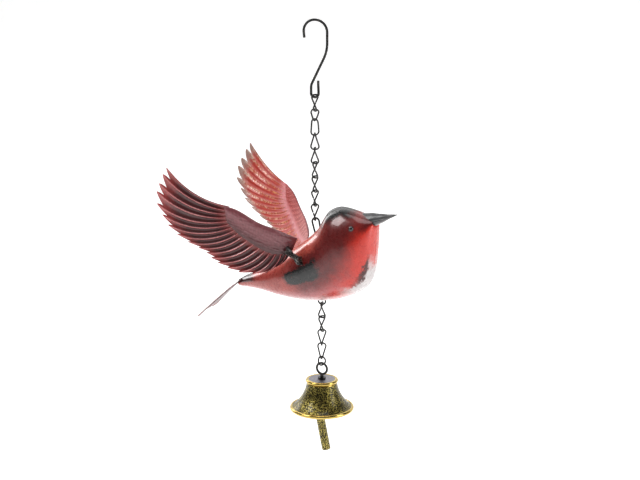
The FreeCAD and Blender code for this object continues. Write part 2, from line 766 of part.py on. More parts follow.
def build():
    play = size("hanger_play")
    link_wire = size("link_wire_radius")
    hook_floor = make_hook()
    first = V(0, 0, hook_floor + size("hook_wire_radius") + link_wire + play)
    chain_end = make_chain(
        "upper", first, UPPER_TURNS, UPPER_SHORT_LINK, size("upper_link_length"), size("upper_short_length")
    )
    loop_top = chain_end + UP * (link_wire + size("loop_wire_radius") + play)

    body = Body(loop_top)
    outside = make_body(body)
    make_back_loop(outside, loop_top)
    make_beak(body, outside)
    make_eyes(body, outside)
    make_tail(body, outside)
    make_wings(body)
    make_wing_mounts(body, outside)

    staple = make_staple(body, outside)
    first = staple + UP * (2 * link_wire + play)
    chain_end = make_chain(
        "lower", first, LOWER_TURNS, LOWER_SHORT_LINK, size("lower_link_length"), size("lower_short_length")
    )
    ring_top = chain_end + UP * (link_wire + size("bell_eye_wire_radius") + play)
    ring_centre = ring_top - UP * size("bell_eye_radius")
    ring_foot = ring_centre - UP * (size("bell_eye_radius") + size("bell_eye_wire_radius"))
    crown = ring_foot - UP * size("bell_stem_rise")
    make_bell_shell(crown - UP * size("bell_height"))
    make_bell_nut(crown)
    nut_floor = crown - UP * (size("bell_wall") + size("bell_nut_height"))
    loop_centre = nut_floor - UP * (size("clapper_loop_radius") + size("clapper_loop_wire_radius") + 0.3)
    make_bell_eye(crown, ring_centre, loop_centre)
    seat = loop_centre - UP * size("clapper_loop_radius")
    make_clapper(seat + UP * (size("clapper_loop_wire_radius") + size("clapper_wire_radius") + play))


def write_parts():
    doc.recompute()
    for piece in doc.Objects:
        if "Invalid" in piece.State or "Error" in piece.State:
            raise RuntimeError(f"{piece.Label} failed: {piece.State}")
    os.makedirs("parts", exist_ok=True)
    for piece in finished:
        shape = piece.Shape
        if shape.isNull() or not shape.isValid() or not shape.Solids:
            raise RuntimeError(f"{piece.Label} has no valid solid")
        shape.exportStep(os.path.join("parts", piece.Label + ".step"))
        print(piece.Label, round(shape.Volume, 1), len(shape.Solids))


build()
write_parts()
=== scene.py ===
import math

import bmesh
import bpy
from mathutils import Matrix, Vector, noise


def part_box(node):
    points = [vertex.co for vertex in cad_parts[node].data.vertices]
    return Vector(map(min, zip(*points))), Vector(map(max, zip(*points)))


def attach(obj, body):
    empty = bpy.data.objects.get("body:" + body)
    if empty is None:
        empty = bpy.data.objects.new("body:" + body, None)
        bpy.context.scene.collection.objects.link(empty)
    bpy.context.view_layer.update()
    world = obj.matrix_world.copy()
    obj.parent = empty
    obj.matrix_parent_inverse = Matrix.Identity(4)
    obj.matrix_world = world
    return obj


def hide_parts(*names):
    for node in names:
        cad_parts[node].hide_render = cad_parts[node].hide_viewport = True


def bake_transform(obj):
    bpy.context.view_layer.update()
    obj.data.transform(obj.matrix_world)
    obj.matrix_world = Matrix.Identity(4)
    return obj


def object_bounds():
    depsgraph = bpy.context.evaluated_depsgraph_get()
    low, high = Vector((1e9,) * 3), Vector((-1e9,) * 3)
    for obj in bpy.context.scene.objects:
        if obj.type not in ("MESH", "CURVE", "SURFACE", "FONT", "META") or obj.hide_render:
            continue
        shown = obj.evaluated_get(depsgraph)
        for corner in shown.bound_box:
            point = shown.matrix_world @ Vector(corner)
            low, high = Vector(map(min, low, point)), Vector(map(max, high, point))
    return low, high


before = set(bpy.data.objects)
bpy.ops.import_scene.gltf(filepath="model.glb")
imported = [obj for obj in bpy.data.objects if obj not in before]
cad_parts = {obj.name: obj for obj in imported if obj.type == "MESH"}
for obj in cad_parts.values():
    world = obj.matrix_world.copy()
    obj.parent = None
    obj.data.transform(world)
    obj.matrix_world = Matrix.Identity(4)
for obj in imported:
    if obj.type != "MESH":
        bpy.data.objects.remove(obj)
cad_low, cad_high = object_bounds()

# A painted sheet-metal bird on a wire chain, with sprung wings and a wind bell.
# Sizes are in millimetres and become metres where a mesh is made.

MM = 0.001
UP = Vector((0, 0, 1))
SIDES = {"right": -1, "left": 1}

BODY_LENGTH = 155.5
BODY_HEIGHT = 72.0
BODY_WIDTH = 45.0
BODY_PITCH = math.radians(27)
SHEET = 0.9
# Place along the body, height of back and belly from its axis, half width, all as shares.
BODY_SECTIONS = (
    (0.013, 0.000, -0.070, 0.067),
    (0.077, 0.014, -0.139, 0.144),
    (0.161, 0.014, -0.236, 0.256),
    (0.289, 0.035, -0.417, 0.378),
    (0.418, 0.076, -0.563, 0.456),
    (0.547, 0.118, -0.653, 0.491),
    (0.662, 0.194, -0.685, 0.500),
    (0.759, 0.320, -0.681, 0.480),
    (0.842, 0.313, -0.604, 0.434),
    (0.913, 0.215, -0.385, 0.356),
    (0.965, 0.110, -0.194, 0.262),
    (1.000, 0.028, -0.062, 0.144),
)
AHEAD = Vector((math.cos(BODY_PITCH), 0, math.sin(BODY_PITCH)))
ABOVE = Vector((-math.sin(BODY_PITCH), 0, math.cos(BODY_PITCH)))

WING_SPAN = 124.0
WING_CHORD = 96.0
WING_BEND = 131.0
WING_SPLAY = math.radians(38)
WING_LEAN = math.radians(6)
WING_SHEET = 0.5
# Tips of the long feathers on the flat blank, from the leading edge to the root.
FEATHER_TIPS = (
    (0.893, 0.719), (0.927, 0.655), (0.965, 0.565), (0.992, 0.485), (1.000, 0.370), (0.963, 0.270),
    (0.922, 0.180), (0.855, 0.100), (0.777, 0.034), (0.702, -0.016), (0.645, -0.060), (0.615, -0.108),
    (0.570, -0.155), (0.505, -0.205), (0.430, -0.250), (0.335, -0.275), (0.245, -0.280), (0.175, -0.235),
)
# Where those feathers leave the covert panel, at even steps from the first feather to the last.
COVERT_EDGE = ((61.0, 36.5), (60.0, 21.5), (49.0, 8.5), (28.5, -7.5), (6.5, -10.5))
LEADING_EDGE = ((0.0, 0.5), (18.6, 11.5), (33.0, 19.0), (49.6, 31.2), (61.5, 36.3))
TRAILING_EDGE = ((5.5, -10.3), (16.0, -11.6), (28.5, -7.5), (49.0, 8.5), (60.0, 21.5))
NOTCH_DEPTH = (8.5, 4.0)

EYE_STATION = 0.900
EYE_TURN = math.acos(2 * 0.72 - 1)
EYE_RADIUS = 2.25
TAIL_LENGTH = 56.0
TAIL_SLOPE = math.radians(41)
TAIL_ROLL = math.radians(6)
BEAK_RISE = math.radians(16)
COIL_RADIUS = 2.1
COIL_WIRE = 0.36
BELL_CROWN = 14.3
BELL_NECK = 13.5
BELL_MOUTH = 28.4
BELL_WALL = 1.4
BELL_RIM = 1.2
BELL_HOLE = 1.65
FLARE_BOW_OUTSIDE = -2.3
FLARE_BOW_INSIDE = 3.1
CLAPPER_LENGTH = 45.0
CLAPPER_RADIUS = 3.9
CLAPPER_LEAN = math.radians(10.3)
CLAPPER_TURN = math.radians(30)

CAMERA_AZIMUTH = math.radians(29.5)
CAMERA_RISE = math.radians(14)
CAMERA_DISTANCE = 1320
CAMERA_LENS = 86.06
FLOOR_DROP = 60
FLOOR_REACH = 4000
SWEEP_START = 1500
SWEEP_RADIUS = 900
LIGHT_AIM = Vector((0, 0, -0.22))
# Each soft box: azimuth and elevation in degrees, distance, width and height in metres, watts.
SOFT_BOXES = {
    "key_box": (-44, 46, 1.4, 0.5, 0.6, 8),
    "right_box": (98, 16, 1.3, 0.5, 1.1, 7),
    "left_box": (-105, 30, 1.3, 0.4, 1.0, 6),
    "top_box": (40, 84, 1.3, 0.7, 0.7, 4),
    "backdrop_box": (209, 55, 1.8, 1.6, 1.2, 5),
}


def rgb(red, green, blue):
    """A paint-chart colour, 0 to 255, as the linear colour a shader takes."""
    def linear(value):
        value /= 255
        return value / 12.92 if value <= 0.04045 else ((value + 0.055) / 1.055) ** 2.4
    return (linear(red), linear(green), linear(blue), 1.0)


def mix(a, b, share):
    return a + (b - a) * share


def ease(low, high, value):
    """0 below low, 1 above high, smooth between."""
    share = min(1.0, max(0.0, (value - low) / (high - low)))
    return share * share * (3 - 2 * share)


def curve_at(points, place):
    """A point on the smooth curve through points; place runs from 0 to 1."""
    last = len(points) - 1
    where = min(max(place, 0.0), 1.0) * last
    i = min(int(where), last - 1)
    t = where - i
    p1, p2 = Vector(points[i]), Vector(points[i + 1])
    p0 = Vector(points[i - 1]) if i else 2 * p1 - p2
    p3 = Vector(points[i + 2]) if i + 2 <= last else 2 * p2 - p1
    return 0.5 * (2 * p1 + (p2 - p0) * t + (2 * p0 - 5 * p1 + 4 * p2 - p3) * t ** 2
                  + (3 * p1 - p0 - 3 * p2 + p3) * t ** 3)


# ---------------------------------------------------------------- finishes

class Flow:
    """A shader socket that plain sums can be written with."""

    def __init__(self, finish, socket):
        self.finish = finish
        self.socket = socket

    def sum(self, operation, *values):
        return self.finish.node("ShaderNodeMath", {"operation": operation}, dict(enumerate(values)))

    def __add__(self, other):
        return self.sum("ADD", self, other)

    def __sub__(self, other):
        return self.sum("SUBTRACT", self, other)

    def __rsub__(self, other):
        return self.sum("SUBTRACT", other, self)

    def __mul__(self, other):
        return self.sum("MULTIPLY", self, other)

    __radd__ = __add__
    __rmul__ = __mul__

    def between(self, low, high):
        """0 below low and 1 above high, or the other way round when low is the larger."""
        start, end = (0.0, 1.0) if low < high else (1.0, 0.0)
        values = {0: self, 1: min(low, high), 2: max(low, high), 3: start, 4: end}
        return self.finish.node("ShaderNodeMapRange", {"interpolation_type": "SMOOTHSTEP"}, values)


class Finish:
    """A material being made up."""

    def __init__(self, name, **constants):
        self.material = bpy.data.materials.new(name)
        self.material.use_nodes = True
        self.tree = self.material.node_tree
        self.shader = self.tree.nodes["Principled BSDF"]
        for socket, value in constants.items():
            self.shader.inputs[socket.replace("_", " ")].default_value = value

    def node(self, kind, settings=None, values=None, output=0):
        made = self.tree.nodes.new(kind)
        for name, value in (settings or {}).items():
            setattr(made, name, value)
        for socket, value in (values or {}).items():
            if isinstance(value, Flow):
                self.tree.links.new(value.socket, made.inputs[socket])
            else:
                made.inputs[socket].default_value = value
        return Flow(self, made.outputs[output])

    def feed(self, socket, value):
        self.tree.links.new(value.socket, self.shader.inputs[socket])

    def place(self, stretch=(1, 1, 1)):
        """Position on the piece in millimetres, stretched along each axis."""
        where = self.node("ShaderNodeTexCoord", output=3)
        scale = [1000 * s for s in stretch]
        return self.node("ShaderNodeMapping", {}, {"Vector": where, "Scale": scale})

    def speckle(self, size, detail=3.0, stretch=(1, 1, 1), rough=0.5):
        """Soft random values from 0 to 1 with patches of the given size in millimetres."""
        values = {"Vector": self.place(stretch), "Scale": 1 / size, "Detail": detail, "Roughness": rough}
        return self.node("ShaderNodeTexNoise", {}, values)

    def cells(self, size):
        """Distance to the nearest of scattered points a given size apart."""
        return self.node("ShaderNodeTexVoronoi", {}, {"Vector": self.place(), "Scale": 1 / size})

    def mask(self, channel):
        """One of the four masks that a piece carries: 0 to 2 in its colour, 3 in its alpha."""
        if channel == 3:
            return self.node("ShaderNodeAttribute", {"attribute_name": "zones"}, output=3)
        colour = self.node("ShaderNodeAttribute", {"attribute_name": "zones"})
        return self.node("ShaderNodeSeparateColor", {}, {0: colour}, channel)

    def blend(self, share, under, over):
        """over laid on under by share."""
        values = {0: share, 6: under, 7: over}
        return self.node("ShaderNodeMix", {"data_type": "RGBA"}, values, 2)

    def relief(self, height, depth):
        """A bump of the given depth in millimetres."""
        values = {"Height": height, "Distance": depth * MM, "Strength": 1.0}
        self.feed("Normal", self.node("ShaderNodeBump", {}, values))


def wire_finish(name, dark, light, rough):
    """Blackened wire with lighter patches, partly rubbed wear and partly painted highlight, and fine draw
    lines.
    """
    finish = Finish(name, Metallic=0.55, Coat_Weight=0.15, Coat_Roughness=0.3)
    rubbed_wear_and_highlight = finish.speckle(2.2, 5.0).between(0.45, 0.7)
    finish.feed("Base Color", finish.blend(rubbed_wear_and_highlight, dark, light))
    finish.feed("Roughness", rough + finish.speckle(0.9, 4.0) * 0.22)
    finish.relief(finish.speckle(0.35, 3.0), 0.05)
    return finish.material


def body_finish():
    """Glossy layered enamel: maroon flanks, red breast, black crown and flank patch, and a belly made pale
    partly by paint and partly by a painted floor reflection, with painted shade on the rump under the tail's
    root.
    """
    finish = Finish("body_enamel", Coat_Weight=0.55, Coat_Roughness=0.05, Metallic=0.10)
    wander = (finish.speckle(9.0, 5.0) - 0.5) * 0.16
    fine = (finish.speckle(1.6, 4.0) - 0.5) * 0.10
    station = finish.mask(0) + wander * 0.5 + fine * 0.4
    level = finish.mask(1) + wander + fine
    front = finish.mask(2) + wander * 0.8 + fine * 0.5
    shade = finish.speckle(5.0, 6.0, rough=0.62)
    maroon = finish.blend(shade, rgb(80, 14, 14), rgb(116, 28, 26))
    rump = finish.blend(shade, rgb(142, 44, 38), rgb(182, 80, 70))
    back = finish.blend(shade, rgb(176, 62, 50), rgb(208, 100, 84))
    breast = finish.blend(shade, rgb(190, 30, 20), rgb(228, 62, 44))
    # the pale pink belly colour is partly paint and partly a painted reflection of the pale floor
    belly = finish.blend(shade, rgb(156, 70, 74), rgb(196, 118, 120))
    white = finish.blend(shade, rgb(186, 176, 176), rgb(222, 216, 216))
    black = finish.blend(shade.between(0.48, 0.70), rgb(4, 5, 6), rgb(32, 22, 22))

    colour = finish.blend(station.between(0.50, 0.36), maroon, rump)
    high = level.between(0.72, 0.90) * station.between(0.80, 0.60)
    colour = finish.blend(high, colour, back)
    low = level.between(0.34, 0.10) * station.between(0.86, 0.66)
    colour = finish.blend(low, colour, belly)
    # the whitening of the underside is partly paint and partly a painted reflection of the pale floor
    underside_paint_and_reflection = level.between(0.16, 0.02) * station.between(0.06, 0.2)
    colour = finish.blend(underside_paint_and_reflection * 0.75, colour, white)
    throat = front.between(0.54, 0.74)
    colour = finish.blend(throat, colour, breast)
    apron = level.between(0.10, 0.05) * station.between(0.60, 0.76) * station.between(0.93, 0.86)
    colour = finish.blend(apron, colour, white)
    collar = level.between(0.15, 0.11) * level.between(0.05, 0.08) * front.between(0.66, 0.80)
    collar = collar * station.between(0.93, 0.89)
    colour = finish.blend(collar * 0.9, colour, black)
    patch = station.between(0.36, 0.44) * station.between(0.66, 0.58)
    patch = patch * level.between(0.36, 0.46) * level.between(0.72, 0.60)
    colour = finish.blend((patch * 1.6 * shade.between(0.28, 0.40)).between(0.0, 1.0), colour, black)
    crown = level.between(0.84, 0.93) * station.between(0.70, 0.76) * station.between(0.95, 0.89)
    colour = finish.blend(crown, colour, black)
    # painted shade: dark maroon on top of the rump, where the tail's root faces away from the light
    tail_root_shade = station.between(0.20, 0.12) * level.between(0.50, 0.66)
    colour = finish.blend(tail_root_shade, colour, rgb(52, 14, 14))
    bridge = station.between(0.90, 0.98)
    colour = finish.blend(bridge * level.between(0.35, 0.6), colour, maroon)
    finish.feed("Base Color", colour)
    finish.feed("Roughness", 0.20 + finish.speckle(3.0, 4.0) * 0.16)
    finish.relief(finish.speckle(7.0, 3.0) + fine * 1.6, 0.22)
    return finish.material


def wing_finish():
    """Feather paint: plum and maroon outside, orange, gold and white inside; the outer ridges carry painted
    highlights, the outer grooves painted shade, and the inner ridges partly painted glints.
    """
    finish = Finish("wing_enamel", Coat_Weight=0.5, Coat_Roughness=0.12, Metallic=0.10)
    ridge = finish.mask(0)
    along = finish.mask(1)
    outside = finish.mask(2).between(0.4, 0.6)
    covert = finish.mask(3).between(0.4, 0.6)
    shade = finish.speckle(2.6, 6.0, rough=0.6)
    streak = finish.speckle(1.4, 5.0, (1.0, 1.0, 0.35))
    # painted highlight and shade: the ridges are pink partly as paint and partly as the light they catch, and
    # the grooves dark maroon partly as paint and partly as the shade they hold
    lit_ridge = (ridge + (streak - 0.5) * 0.30).between(0.38, 0.74)

    groove_paint_and_shade = finish.blend(shade, rgb(44, 5, 8), rgb(84, 16, 18))
    tip_red = finish.blend(shade, rgb(132, 34, 34), rgb(176, 66, 62))
    groove_paint_and_shade = finish.blend((along + (shade - 0.5) * 0.2).between(0.62, 0.98), groove_paint_and_shade, tip_red)
    ridge_paint_and_highlight = finish.blend(streak, rgb(178, 86, 88), rgb(218, 142, 142))
    ridge_paint_and_highlight = finish.blend(along.between(0.70, 1.0), ridge_paint_and_highlight, rgb(190, 88, 86))
    feathers = finish.blend(lit_ridge, groove_paint_and_shade, ridge_paint_and_highlight)
    feathers = finish.blend(along.between(0.16, 0.02) * 0.5, feathers, rgb(140, 36, 30))
    plum = finish.blend(streak, rgb(92, 38, 44), rgb(150, 82, 88))
    plum = finish.blend((along + (shade - 0.5) * 0.5).between(0.45, 1.05), plum, rgb(70, 22, 24))
    plum = finish.blend(ridge.between(0.66, 0.95) * 0.5, plum, rgb(178, 122, 130))
    root = ridge.between(0.02, 0.0)
    plum = finish.blend(root * 0.7, plum, rgb(44, 34, 38))
    outer = finish.blend(covert, feathers, plum)

    red = finish.blend(shade, rgb(150, 24, 18), rgb(206, 62, 40))
    # the gold along the inner ridges is partly gold fleck paint and partly painted glint
    gold = finish.blend(shade.between(0.35, 0.6), rgb(214, 96, 52), rgb(236, 168, 76))
    glint_and_fleck_dots = finish.speckle(1.9, 5.0, (1.0, 1.0, 0.5), 0.6).between(0.46, 0.60)
    edge = (ridge + (streak - 0.5) * 0.6).between(0.35, 0.8)
    inside = finish.blend(edge * (glint_and_fleck_dots * 0.75 + 0.25 * along), red, gold)
    pale = finish.blend(streak, rgb(220, 170, 150), rgb(244, 216, 200))
    inside = finish.blend(edge * glint_and_fleck_dots * along.between(0.2, 0.7), inside, pale)
    tip = (along + (shade - 0.5) * 0.25).between(0.74, 0.96)
    tip_white = finish.blend(streak, rgb(120, 92, 84), rgb(204, 186, 174))
    inside = finish.blend(tip * 0.85, inside, tip_white)
    band = finish.blend(streak, rgb(196, 100, 104), rgb(226, 146, 148))
    inside = finish.blend((along + (shade - 0.5) * 0.15).between(0.20, 0.02), inside, band)
    scales = finish.blend(ridge.between(0.45, 0.8), rgb(150, 34, 32), rgb(222, 120, 114))
    lining = finish.blend((along + (shade - 0.5) * 0.2).between(0.62, 0.92), scales, band)
    inner = finish.blend(covert, inside, lining)
    finish.feed("Base Color", finish.blend(outside, inner, outer))
    finish.feed("Roughness", 0.30 + finish.speckle(1.2, 4.0) * 0.22)
    finish.relief(streak + shade * 0.5, 0.16)
    return finish.material


def tail_finish():
    """Dark maroon feather blades with paler shafts and worn edges."""
    finish = Finish("tail_enamel", Coat_Weight=0.7, Coat_Roughness=0.14, Metallic=0.1)
    shade = finish.speckle(2.4, 6.0, rough=0.6)
    blade = finish.blend(shade, rgb(62, 12, 14), rgb(98, 30, 30))
    shaft = finish.blend(shade, rgb(150, 64, 62), rgb(196, 108, 102))
    colour = finish.blend(finish.mask(0).between(0.4, 0.8), blade, shaft)
    colour = finish.blend(finish.mask(1).between(0.80, 1.0) * 0.5, colour, rgb(150, 84, 80))
    finish.feed("Base Color", colour)
    finish.feed("Roughness", 0.28 + finish.speckle(1.3, 4.0) * 0.22)
    finish.relief(shade, 0.15)
    return finish.material


def beak_finish():
    """Dark grey horn, with a painted highlight along the lower edge."""
    finish = Finish("beak_enamel", Coat_Weight=0.6, Coat_Roughness=0.2)
    shade = finish.speckle(3.2, 6.0, (0.35, 1, 1), 0.6)
    colour = finish.blend(shade, rgb(52, 52, 54), rgb(92, 91, 92))
    # painted highlight: the lower edge is paled for the light it catches from below
    lower_edge_highlight = finish.mask(0).between(0.3, 0.8) * 0.8
    finish.feed("Base Color", finish.blend(lower_edge_highlight, colour, rgb(150, 146, 146)))
    finish.feed("Roughness", 0.34 + shade * 0.2)
    finish.relief(finish.speckle(0.8, 4.0, (0.3, 1, 1)), 0.10)
    return finish.material


def eye_finish():
    """Glossy black bead in a dark brown ring."""
    finish = Finish("eye_enamel", Coat_Weight=1.0, Coat_Roughness=0.03)
    ring = finish.mask(0).between(0.4, 0.6)
    finish.feed("Base Color", finish.blend(ring, rgb(12, 11, 12), rgb(44, 18, 16)))
    finish.feed("Roughness", 0.10 + ring * 0.3)
    finish.relief(finish.speckle(0.7, 2.0), 0.03)
    return finish.material


def bell_finish(name, gild):
    """Cast bronze: black patina in the dimples, gold on the high spots and the rolled rims, and a painted
    grey-lavender reflection on the flat top of the crown.
    """
    finish = Finish(name, Metallic=1.0, Coat_Weight=0.35, Coat_Roughness=0.10)
    grain = finish.cells(1.05) * 1.1 + (finish.speckle(0.8, 4.0) - 0.5) * 0.9
    flecks = grain.between(0.50, 0.72)
    patches = finish.speckle(7.0, 3.0).between(0.30, 0.70)
    rim = finish.mask(0).between(0.35, 0.75)
    black = finish.blend(finish.speckle(1.3, 4.0), rgb(10, 10, 6), rgb(44, 42, 20))
    gold = finish.blend(finish.speckle(2.0, 5.0), rgb(146, 126, 44), rgb(214, 198, 112))
    bright = finish.blend(finish.speckle(3.0, 4.0), rgb(168, 138, 48), rgb(226, 200, 116))
    share = flecks * (gild + patches * 0.5)
    colour = finish.blend(share, black, gold)
    # painted reflection: the flat top of the crown is grey-lavender for the surroundings it reflects
    crown = finish.mask(1).between(0.4, 0.6)
    colour = finish.blend(crown, colour, rgb(128, 124, 132))
    finish.feed("Base Color", finish.blend(rim, colour, bright))
    dull = 1 - rim
    finish.feed("Roughness", 0.16 + dull * (0.10 + finish.speckle(0.9, 3.0) * 0.16))
    finish.relief(grain * (dull * 0.9 + 0.1), 0.22)
    return finish.material


def braze_finish():
    """Dull brown braze with a grainy skin."""
    finish = Finish("brazing", Metallic=1.0)
    shade = finish.speckle(0.8, 4.0)
    finish.feed("Base Color", finish.blend(shade, rgb(60, 50, 46), rgb(132, 104, 84)))
    finish.feed("Roughness", 0.34 + shade * 0.3)
    finish.relief(finish.speckle(0.5, 3.0), 0.08)
    return finish.material


def floor_finish():
    """Matt white that glows a little, so the backdrop stays pale."""
    finish = Finish("pale_floor", Roughness=0.9, Emission_Color=(1.0, 1.0, 1.0, 1.0), Emission_Strength=0.55)
    shade = finish.speckle(60.0, 3.0)
    finish.feed("Base Color", finish.blend(shade, rgb(243, 243, 242), rgb(248, 248, 248)))
    return finish.material


# ---------------------------------------------------------------- meshes

class Metal:
    """Points, faces and masks of one piece, gathered from its surfaces, in millimetres."""

    def __init__(self):
        self.points = []
        self.faces = []
        self.masks = []

    def grid(self, rows, masks=None, wrap=False, close=False):
        """A surface from rows of points; wrap closes each row and close the rows themselves."""
        start, wide = len(self.points), len(rows[0])
        for r, row in enumerate(rows):
            self.points += row
            self.masks += masks[r] if masks else [(0, 0, 0, 0)] * wide
        for r in range(len(rows) - 1 + close):
            for c in range(wide - 1 + wrap):
                a, b = start + r * wide, start + (r + 1) % len(rows) * wide
                after = (c + 1) % wide
                self.faces.append((a + c, a + after, b + after, b + c))
        return start

    def cap(self, first, count):
        self.faces.append(tuple(range(first, first + count)))

    def sheet(self, outer, inner, outer_masks, inner_masks):
        """A thin plate: two surfaces joined round their edge."""
        top = self.grid(outer, outer_masks)
        low = self.grid(inner, inner_masks)
        tall, wide = len(outer), len(outer[0])
        rim = list(range(wide))
        rim += [r * wide + wide - 1 for r in range(1, tall)]
        rim += [(tall - 1) * wide + c for c in reversed(range(wide - 1))]
        rim += [r * wide for r in reversed(range(1, tall - 1))]
        for a, b in zip(rim, rim[1:] + rim[:1]):
            self.faces.append((top + a, top + b, low + b, low + a))

    def tube(self, path, radius, sides=12, closed=False, mask=(0, 0, 0, 0)):
        """A round wire along path; radius is one value or one for each point."""
        radii = radius if isinstance(radius, (list, tuple)) else [radius] * len(path)
        count = len(path)
        side = None
        rows = []
        for i, point in enumerate(path):
            before = path[i - 1] if i or closed else path[0]
            after = path[(i + 1) % count] if i + 1 < count or closed else path[-1]
            along = (after - before).normalized()
            if side is None:
                side = along.orthogonal()
            side = (side - along * side.dot(along)).normalized()
            other = along.cross(side)
            turns = (2 * math.pi * k / sides for k in range(sides))
            rows.append([point + (side * math.cos(a) + other * math.sin(a)) * radii[i] for a in turns])
        first = self.grid(rows, [[mask] * sides] * count, wrap=True, close=closed)
        if not closed:
            self.cap(first, sides)
            self.cap(first + (count - 1) * sides, sides)

    def lathe(self, profile, place, sides, masks=None, closed=False, ripple=None):
        """A turned surface: profile holds radius and height, place carries it into position."""
        rows, rims = [], []
        for i, (radius, height) in enumerate(profile):
            row = []
            for k in range(sides):
                turn = 2 * math.pi * k / sides
                r = radius + (ripple(i, turn) if ripple else 0)
                row.append(place @ Vector((r * math.cos(turn), r * math.sin(turn), height)))
            rows.append(row)
            rims.append([masks[i] if masks else (0, 0, 0, 0)] * sides)
        first = self.grid(rows, rims, wrap=True, close=closed)
        if not closed:
            self.cap(first, sides)
            self.cap(first + (len(profile) - 1) * sides, sides)

    def make(self, name, finish, crease=40):
        """The finished mesh object, in metres."""
        mesh = bpy.data.meshes.new(name)
        mesh.from_pydata([p * MM for p in self.points], [], self.faces)
        zones = mesh.attributes.new("zones", "FLOAT_COLOR", "POINT")
        zones.data.foreach_set("color", [float(v) for mask in self.masks for v in mask])
        work = bmesh.new()
        work.from_mesh(mesh)
        bmesh.ops.remove_doubles(work, verts=work.verts, dist=0.002 * MM)
        bmesh.ops.recalc_face_normals(work, faces=work.faces)
        work.to_mesh(mesh)
        work.free()
        mesh.materials.append(finish)
        mesh.shade_smooth()
        mesh.set_sharp_from_angle(angle=math.radians(crease))
        piece = bpy.data.objects.new(name, mesh)
        bpy.context.scene.collection.objects.link(piece)
        return piece


def fit(points, nodes):
    """The move, in millimetres, that sets the middle of the points on the middle of CAD nodes."""
    lows, highs = zip(*(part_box(node) for node in nodes))
    low = Vector(min(v[k] for v in lows) for k in range(3)) / MM
    high = Vector(max(v[k] for v in highs) for k in range(3)) / MM
    mine_low = Vector(min(p[k] for p in points) for k in range(3))
    mine_high = Vector(max(p[k] for p in points) for k in range(3))
    return (low + high - mine_low - mine_high) / 2


def stand(foot, upward):
    """A matrix that sets a turned surface's foot at a place, with its axis along upward."""
    return Matrix.Translation(foot) @ UP.rotation_difference(upward).to_matrix().to_4x4()


def node_middle(node):
    """The middle of a CAD node's box, in millimetres."""
    low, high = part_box(node)
    return (low + high) / 2 / MM


# ---------------------------------------------------------------- body

def body_sizes(station):
    """Back, belly and half width in millimetres, smooth through the sections."""
    station = min(max(station, BODY_SECTIONS[0][0]), 1.0)
    i = max(k for k, row in enumerate(BODY_SECTIONS[:-1]) if row[0] <= station)
    near, far = BODY_SECTIONS[i], BODY_SECTIONS[i + 1]
    share = (station - near[0]) / (far[0] - near[0])
    sizes = []
    for k, scale in ((1, BODY_HEIGHT), (2, BODY_HEIGHT), (3, BODY_WIDTH)):
        def slope(j):
            before, after = BODY_SECTIONS[max(j - 1, 0)], BODY_SECTIONS[min(j + 1, len(BODY_SECTIONS) - 1)]
            return (after[k] - before[k]) / (after[0] - before[0]) * (far[0] - near[0])
        a, b = near[k], far[k]
        t2, t3 = share ** 2, share ** 3
        value = a * (2 * t3 - 3 * t2 + 1) + slope(i) * (t3 - 2 * t2 + share)
        value += b * (3 * t2 - 2 * t3) + slope(i + 1) * (t3 - t2)
        sizes.append(value * scale)
    return sizes


def skin(station, turn, side, proud=0.0):
    """A point on the body: turn runs from the back, 0, to the belly, pi."""
    back, belly, half = body_sizes(station)
    middle, reach = (back + belly) / 2, (back - belly) / 2
    out = ABOVE * math.cos(turn) * (reach + proud)
    out += Vector((0, side * math.sin(turn) * (half + proud), 0))
    return BODY_TAIL + AHEAD * (station * BODY_LENGTH) + ABOVE * middle + out


def skin_normal(station, turn, side):
    """The outward direction at a point on the body."""
    step = 0.004
    along = skin(station + step, turn, side) - skin(station - step, turn, side)
    round_ = skin(station, turn + step, side) - skin(station, turn - step, side)
    normal = along.cross(round_).normalized()
    outward = skin(station, turn, side) - skin(station, math.pi / 2, -side)
    return normal if normal.dot(outward) > 0 else -normal


BODY_TAIL = Vector((0, 0, 0))
BODY_TAIL = fit(
    [
        skin(0.013 + 0.987 * i / 80, math.pi * k / 24, side)
        for i in range(81) for k in range(25) for side in (-1, 1)
    ],
    ["body_right_shell", "body_left_shell"],
)


def make_body(finish):
    """Two pressed shells whose turned edges stand a little proud along the seam."""
    rows, columns = 150, 72
    for name, side in SIDES.items():
        metal = Metal()
        outer, inner, masks = [], [], []
        for i in range(rows + 1):
            station = mix(BODY_SECTIONS[0][0], 1.0, i / rows)
            outside, inside, zone = [], [], []
            for k in range(columns + 1):
                turn = math.pi * k / columns
                edge = min(k, columns - k) / columns
                lip = 0.42 * (1 - ease(0.012, 0.030, edge))
                wobble = noise.noise(Vector((station * 22, turn * 2.2, side * 3.0))) * 0.10
                end = math.sin(math.pi * min(1.0, (1 - station) * 14 + 0.08) / 2)
                point = skin(station, turn, side, lip * end + wobble * end)
                point.y = side * max(side * point.y, 0.04)
                outside.append(point)
                under = skin(station, turn, side, -SHEET)
                under.y = side * max(side * under.y, 0.04)
                inside.append(under)
                front = 0.5 + 0.5 * skin_normal(station, turn, side).dot(Vector((1, 0, 0)))
                level = 0.5 + 0.5 * math.cos(turn)
                zone.append((station, level, front, 0.0))
            outer.append(outside)
            inner.append(inside)
            masks.append(zone)
        metal.sheet(outer, inner, masks, masks)
        piece = metal.make(f"{name}_body_skin", finish)
        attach(piece, "bird")
        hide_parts(f"body_{name}_shell")


